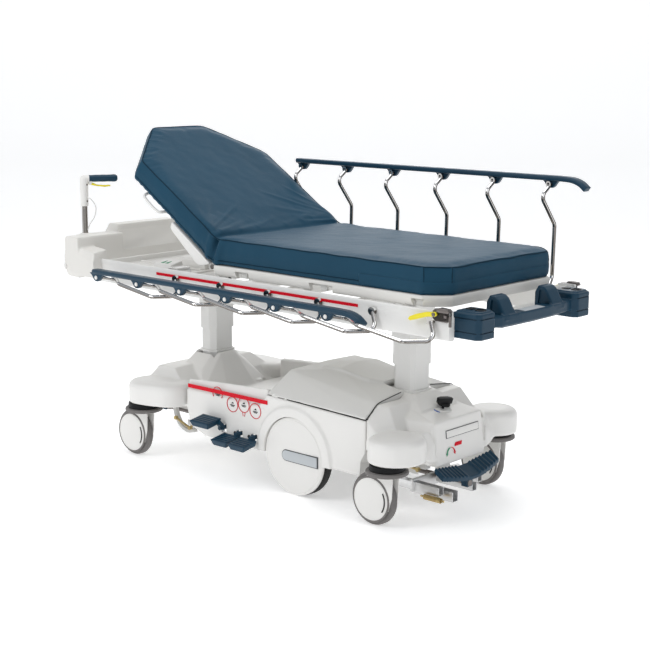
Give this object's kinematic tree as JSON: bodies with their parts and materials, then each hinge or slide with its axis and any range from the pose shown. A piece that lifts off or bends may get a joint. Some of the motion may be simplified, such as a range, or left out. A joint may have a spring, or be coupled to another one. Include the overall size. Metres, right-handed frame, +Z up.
{
  "type": "stretcher trolley",
  "caption": "Hospital stretcher trolley: castor base with powered centre wheels, two lift columns, tilting litter, raised backrest and folding side rails.",
  "frame": {"origin": "on the floor, at the centre of the trolley's overall length and width", "axes": "+X to the foot end along the litter, +Y to the patient's left, +Z up"},
  "size_m": [2.22, 0.964, 1.4097],
  "materials": {
    "white_moulding": "warm white satin moulding",
    "grey_lid": "fine-textured warm grey moulding",
    "column_paint": "white powder coat",
    "frame_paint": "white powder coat",
    "deck_plastic": "textured white plastic",
    "mattress_cover": "navy wipe-clean stretch cover",
    "motor_black": "black paint",
    "caster_white": "white moulding",
    "caster_tyre": "grey non-marking tread",
    "hub_white": "white moulding",
    "drive_tyre": "black tread",
    "blue_moulding": "dark blue textured moulding",
    "black_knob": "black",
    "bush_brass": "plain",
    "chrome_tube": "bright chrome",
    "strut_black": "black",
    "handle_white": "white sleeve on a chrome post",
    "yellow_lever": "yellow moulding"
  },
  "bodies": {
    "base": {"base_frame": "frame_paint", "head_hood": "white_moulding", "drive_housing": "white_moulding", "drive_lid": "grey_lid", "foot_hood": "white_moulding", "column_collars": "column_paint", "lift_cylinders": "frame_paint", "drive_unit": "motor_black", "caster_mounts": "frame_paint"},
    "fork_head_right": {"caster_fork_head_right": "caster_white"},
    "wheel_head_right": {"caster_wheel_head_right": "caster_tyre"},
    "fork_head_left": {"caster_fork_head_left": "caster_white"},
    "wheel_head_left": {"caster_wheel_head_left": "caster_tyre"},
    "fork_foot_right": {"caster_fork_foot_right": "caster_white"},
    "wheel_foot_right": {"caster_wheel_foot_right": "caster_tyre"},
    "fork_foot_left": {"caster_fork_foot_left": "caster_white"},
    "wheel_foot_left": {"caster_wheel_foot_left": "caster_tyre"},
    "drive_wheel": {"drive_wheel_hubs": "hub_white", "drive_wheel_tyres": "drive_tyre"},
    "pump_pedal": {"pump_pedal": "blue_moulding"},
    "release_pedal_head": {"release_pedal_head": "blue_moulding"},
    "release_pedal_foot": {"release_pedal_foot": "blue_moulding"},
    "brake_pedals": {"brake_pedals": "blue_moulding"},
    "selector_knob": {"selector_knob": "black_knob"},
    "head_column_top": {"head_column_top": "column_paint"},
    "head_sleeve_lower": {"head_sleeve_lower": "column_paint"},
    "head_sleeve_upper": {"head_sleeve_upper": "column_paint"},
    "foot_column_top": {"foot_column_top": "column_paint"},
    "foot_sleeve_lower": {"foot_sleeve_lower": "column_paint"},
    "foot_sleeve_upper": {"foot_sleeve_upper": "column_paint"},
    "pivot_bushes": {"pivot_bushes": "bush_brass"},
    "litter": {"litter_frame": "frame_paint", "litter_deck": "deck_plastic", "seat_mattress": "mattress_cover", "head_housing": "white_moulding", "foot_bumper": "blue_moulding"},
    "backrest": {"backrest_panel": "deck_plastic", "backrest_mattress": "mattress_cover"},
    "strut_cylinders": {"strut_cylinders": "strut_black"},
    "strut_rods": {"strut_rods": "chrome_tube"},
    "rail_post_right_1": {"rail_post_right_1": "chrome_tube"},
    "rail_post_right_2": {"rail_post_right_2": "chrome_tube"},
    "rail_post_right_3": {"rail_post_right_3": "chrome_tube"},
    "rail_post_right_4": {"rail_post_right_4": "chrome_tube"},
    "rail_post_right_5": {"rail_post_right_5": "chrome_tube"},
    "rail_post_right_6": {"rail_post_right_6": "chrome_tube"},
    "rail_right": {"rail_right": "blue_moulding"},
    "push_handle_right": {"push_handle_right": "handle_white"},
    "push_trigger_right": {"push_trigger_right": "yellow_lever"},
    "rail_latch_right": {"rail_latch_right": "yellow_lever"},
    "rail_post_left_1": {"rail_post_left_1": "chrome_tube"},
    "rail_post_left_2": {"rail_post_left_2": "chrome_tube"},
    "rail_post_left_3": {"rail_post_left_3": "chrome_tube"},
    "rail_post_left_4": {"rail_post_left_4": "chrome_tube"},
    "rail_post_left_5": {"rail_post_left_5": "chrome_tube"},
    "rail_post_left_6": {"rail_post_left_6": "chrome_tube"},
    "rail_left": {"rail_left": "blue_moulding"},
    "push_handle_left": {"push_handle_left": "handle_white"},
    "push_trigger_left": {"push_trigger_left": "yellow_lever"},
    "rail_latch_left": {"rail_latch_left": "yellow_lever"}
  },
  "joints": [
    {"name": "swivel_head_right", "type": "hinge", "parent": "base", "child": "fork_head_right", "pos_m": [-0.682, -0.336, 0.217], "axis": [0, 0, 1], "continuous": true},
    {"name": "roll_head_right", "type": "hinge", "parent": "fork_head_right", "child": "wheel_head_right", "pos_m": [-0.74, -0.336, 0.1], "axis": [0, 1, 0], "continuous": true},
    {"name": "swivel_head_left", "type": "hinge", "parent": "base", "child": "fork_head_left", "pos_m": [-0.682, 0.336, 0.217], "axis": [0, 0, 1], "continuous": true},
    {"name": "roll_head_left", "type": "hinge", "parent": "fork_head_left", "child": "wheel_head_left", "pos_m": [-0.74, 0.336, 0.1], "axis": [0, 1, 0], "continuous": true},
    {"name": "swivel_foot_right", "type": "hinge", "parent": "base", "child": "fork_foot_right", "pos_m": [0.682, -0.336, 0.217], "axis": [0, 0, 1], "continuous": true},
    {"name": "roll_foot_right", "type": "hinge", "parent": "fork_foot_right", "child": "wheel_foot_right", "pos_m": [0.624, -0.336, 0.1], "axis": [0, 1, 0], "continuous": true},
    {"name": "swivel_foot_left", "type": "hinge", "parent": "base", "child": "fork_foot_left", "pos_m": [0.682, 0.336, 0.217], "axis": [0, 0, 1], "continuous": true},
    {"name": "roll_foot_left", "type": "hinge", "parent": "fork_foot_left", "child": "wheel_foot_left", "pos_m": [0.624, 0.336, 0.1], "axis": [0, 1, 0], "continuous": true},
    {"name": "drive_wheel_roll", "type": "hinge", "parent": "base", "child": "drive_wheel", "pos_m": [0.175, 0, 0.16], "axis": [0, 1, 0], "continuous": true},
    {"name": "pump_pedal_press", "type": "hinge", "parent": "base", "child": "pump_pedal", "pos_m": [-0.222, 0, 0.206], "axis": [0, 1, 0], "range_deg": [-14, 0]},
    {"name": "release_pedal_head_press", "type": "hinge", "parent": "base", "child": "release_pedal_head", "pos_m": [-0.128, 0, 0.196], "axis": [0, 1, 0], "range_deg": [-9, 0]},
    {"name": "release_pedal_foot_press", "type": "hinge", "parent": "base", "child": "release_pedal_foot", "pos_m": [-0.044, 0, 0.196], "axis": [0, 1, 0], "range_deg": [-9, 0]},
    {"name": "brake_rock", "type": "hinge", "parent": "base", "child": "brake_pedals", "pos_m": [0, 0, 0.12], "axis": [1, 0, 0], "range_deg": [-18, 18]},
    {"name": "selector_turn", "type": "hinge", "parent": "base", "child": "selector_knob", "pos_m": [0.672, 0.006, 0.395], "axis": [0.2599, 0, 0.9656], "range_deg": [-45, 45]},
    {"name": "head_lift", "type": "slide", "parent": "base", "child": "head_column_top", "axis": [0, 0, 1], "range_m": [-0.268, 0]},
    {"name": "head_sleeve_lower_slide", "type": "slide", "parent": "base", "child": "head_sleeve_lower", "axis": [0, 0, 1], "range_m": [-0.09049, 0]},
    {"name": "head_sleeve_upper_slide", "type": "slide", "parent": "base", "child": "head_sleeve_upper", "axis": [0, 0, 1], "range_m": [-0.1795, 0]},
    {"name": "foot_lift", "type": "slide", "parent": "base", "child": "foot_column_top", "axis": [0, 0, 1], "range_m": [-0.268, 0]},
    {"name": "foot_sleeve_lower_slide", "type": "slide", "parent": "base", "child": "foot_sleeve_lower", "axis": [0, 0, 1], "range_m": [-0.09049, 0]},
    {"name": "foot_sleeve_upper_slide", "type": "slide", "parent": "base", "child": "foot_sleeve_upper", "axis": [0, 0, 1], "range_m": [-0.1795, 0]},
    {"name": "head_pivot", "type": "hinge", "parent": "head_column_top", "child": "pivot_bushes", "pos_m": [-0.577, 0, 0.8], "axis": [0, 1, 0], "range_deg": [-13.87, 0]},
    {"name": "litter_tilt", "type": "hinge", "parent": "pivot_bushes", "child": "litter", "pos_m": [-0.577, 0, 0.8], "axis": [0, 1, 0], "range_deg": [0, 13.87]},
    {"name": "backrest_raise", "type": "hinge", "parent": "litter", "child": "backrest", "pos_m": [-0.222, 0, 0.877], "axis": [0, 1, 0], "range_deg": [-33.6, 56.4]},
    {"name": "strut_cylinder_turn", "type": "hinge", "parent": "litter", "child": "strut_cylinders", "pos_m": [-0.23242, 0, 0.75796], "axis": [0, 1, 0], "range_deg": [-16.9, 28.3]},
    {"name": "strut_rod_turn", "type": "hinge", "parent": "backrest", "child": "strut_rods", "pos_m": [-0.33311, 0, 0.92099], "axis": [0, 1, 0], "range_deg": [-28.3, 16.9]},
    {"name": "rail_post_right_1_fold", "type": "hinge", "parent": "litter", "child": "rail_post_right_1", "pos_m": [-0.403, 0, 0.812], "axis": [0, 1, 0], "range_deg": [0, 83]},
    {"name": "rail_post_right_2_fold", "type": "hinge", "parent": "litter", "child": "rail_post_right_2", "pos_m": [-0.1402, 0, 0.812], "axis": [0, 1, 0], "range_deg": [0, 83]},
    {"name": "rail_right_fold", "type": "hinge", "parent": "litter", "child": "rail_post_right_3", "pos_m": [0.1226, 0, 0.812], "axis": [0, 1, 0], "range_deg": [0, 82.9]},
    {"name": "rail_post_right_4_fold", "type": "hinge", "parent": "litter", "child": "rail_post_right_4", "pos_m": [0.3854, 0, 0.812], "axis": [0, 1, 0], "range_deg": [0, 83]},
    {"name": "rail_post_right_5_fold", "type": "hinge", "parent": "litter", "child": "rail_post_right_5", "pos_m": [0.6482, 0, 0.812], "axis": [0, 1, 0], "range_deg": [0, 83]},
    {"name": "rail_post_right_6_fold", "type": "hinge", "parent": "litter", "child": "rail_post_right_6", "pos_m": [0.911, 0, 0.812], "axis": [0, 1, 0], "range_deg": [0, 83]},
    {"name": "rail_right_level", "type": "hinge", "parent": "rail_post_right_3", "child": "rail_right", "pos_m": [-0.29538, 0, 0.78143], "axis": [0, 1, 0], "range_deg": [-83, 0]},
    {"name": "handle_swivel_right", "type": "hinge", "parent": "litter", "child": "push_handle_right", "pos_m": [-1.076, -0.32, 0.94], "axis": [0, 0, 1], "range_deg": [-58, 31]},
    {"name": "trigger_squeeze_right", "type": "hinge", "parent": "push_handle_right", "child": "push_trigger_right", "pos_m": [-1.06248, -0.2978, 1.155], "axis": [0.8541, -0.5201, 0], "range_deg": [0, 8]},
    {"name": "rail_latch_lift_right", "type": "hinge", "parent": "litter", "child": "rail_latch_right", "pos_m": [0.938, -0.404, 0.838], "axis": [0, 1, 0], "range_deg": [0, 20]},
    {"name": "rail_post_left_1_fold", "type": "hinge", "parent": "litter", "child": "rail_post_left_1", "pos_m": [-0.403, 0, 0.812], "axis": [0, 1, 0], "range_deg": [-83, 0]},
    {"name": "rail_post_left_2_fold", "type": "hinge", "parent": "litter", "child": "rail_post_left_2", "pos_m": [-0.1402, 0, 0.812], "axis": [0, 1, 0], "range_deg": [-83, 0]},
    {"name": "rail_left_fold", "type": "hinge", "parent": "litter", "child": "rail_post_left_3", "pos_m": [0.1226, 0, 0.812], "axis": [0, 1, 0], "range_deg": [-82.9, 0]},
    {"name": "rail_post_left_4_fold", "type": "hinge", "parent": "litter", "child": "rail_post_left_4", "pos_m": [0.3854, 0, 0.812], "axis": [0, 1, 0], "range_deg": [-83, 0]},
    {"name": "rail_post_left_5_fold", "type": "hinge", "parent": "litter", "child": "rail_post_left_5", "pos_m": [0.6482, 0, 0.812], "axis": [0, 1, 0], "range_deg": [-83, 0]},
    {"name": "rail_post_left_6_fold", "type": "hinge", "parent": "litter", "child": "rail_post_left_6", "pos_m": [0.911, 0, 0.812], "axis": [0, 1, 0], "range_deg": [-83, 0]},
    {"name": "rail_left_level", "type": "hinge", "parent": "rail_post_left_3", "child": "rail_left", "pos_m": [0.0406, 0, 1.223], "axis": [0, 1, 0], "range_deg": [0, 83]},
    {"name": "handle_swivel_left", "type": "hinge", "parent": "litter", "child": "push_handle_left", "pos_m": [-1.076, 0.32, 0.94], "axis": [0, 0, 1], "range_deg": [-31, 58]},
    {"name": "trigger_squeeze_left", "type": "hinge", "parent": "push_handle_left", "child": "push_trigger_left", "pos_m": [-1.06248, 0.2978, 1.155], "axis": [-0.8541, -0.5201, 0], "range_deg": [0, 8]},
    {"name": "rail_latch_lift_left", "type": "hinge", "parent": "litter", "child": "rail_latch_left", "pos_m": [0.938, 0.404, 0.838], "axis": [0, 1, 0], "range_deg": [0, 20]}
  ],
  "couplings": [
    {"joint": "head_sleeve_lower_slide", "follows": "head_lift", "ratio": 0.3358},
    {"joint": "head_sleeve_upper_slide", "follows": "head_lift", "ratio": 0.6679},
    {"joint": "foot_sleeve_lower_slide", "follows": "foot_lift", "ratio": 0.3358},
    {"joint": "foot_sleeve_upper_slide", "follows": "foot_lift", "ratio": 0.6679},
    {"joint": "head_pivot", "follows": "head_lift", "rad_per_m": 0.9},
    {"joint": "litter_tilt", "follows": "foot_lift", "rad_per_m": -0.9},
    {"joint": "strut_cylinder_turn", "follows": "backrest_raise", "ratio": 0.5},
    {"joint": "strut_rod_turn", "follows": "backrest_raise", "ratio": -0.5},
    {"joint": "rail_post_right_1_fold", "follows": "rail_right_fold", "ratio": 1},
    {"joint": "rail_post_right_2_fold", "follows": "rail_right_fold", "ratio": 1},
    {"joint": "rail_post_right_4_fold", "follows": "rail_right_fold", "ratio": 1},
    {"joint": "rail_post_right_5_fold", "follows": "rail_right_fold", "ratio": 1},
    {"joint": "rail_post_right_6_fold", "follows": "rail_right_fold", "ratio": 1},
    {"joint": "rail_right_level", "follows": "rail_right_fold", "ratio": -1},
    {"joint": "rail_post_left_1_fold", "follows": "rail_left_fold", "ratio": 1},
    {"joint": "rail_post_left_2_fold", "follows": "rail_left_fold", "ratio": 1},
    {"joint": "rail_post_left_4_fold", "follows": "rail_left_fold", "ratio": 1},
    {"joint": "rail_post_left_5_fold", "follows": "rail_left_fold", "ratio": 1},
    {"joint": "rail_post_left_6_fold", "follows": "rail_left_fold", "ratio": 1},
    {"joint": "rail_left_level", "follows": "rail_left_fold", "ratio": -1}
  ]
}
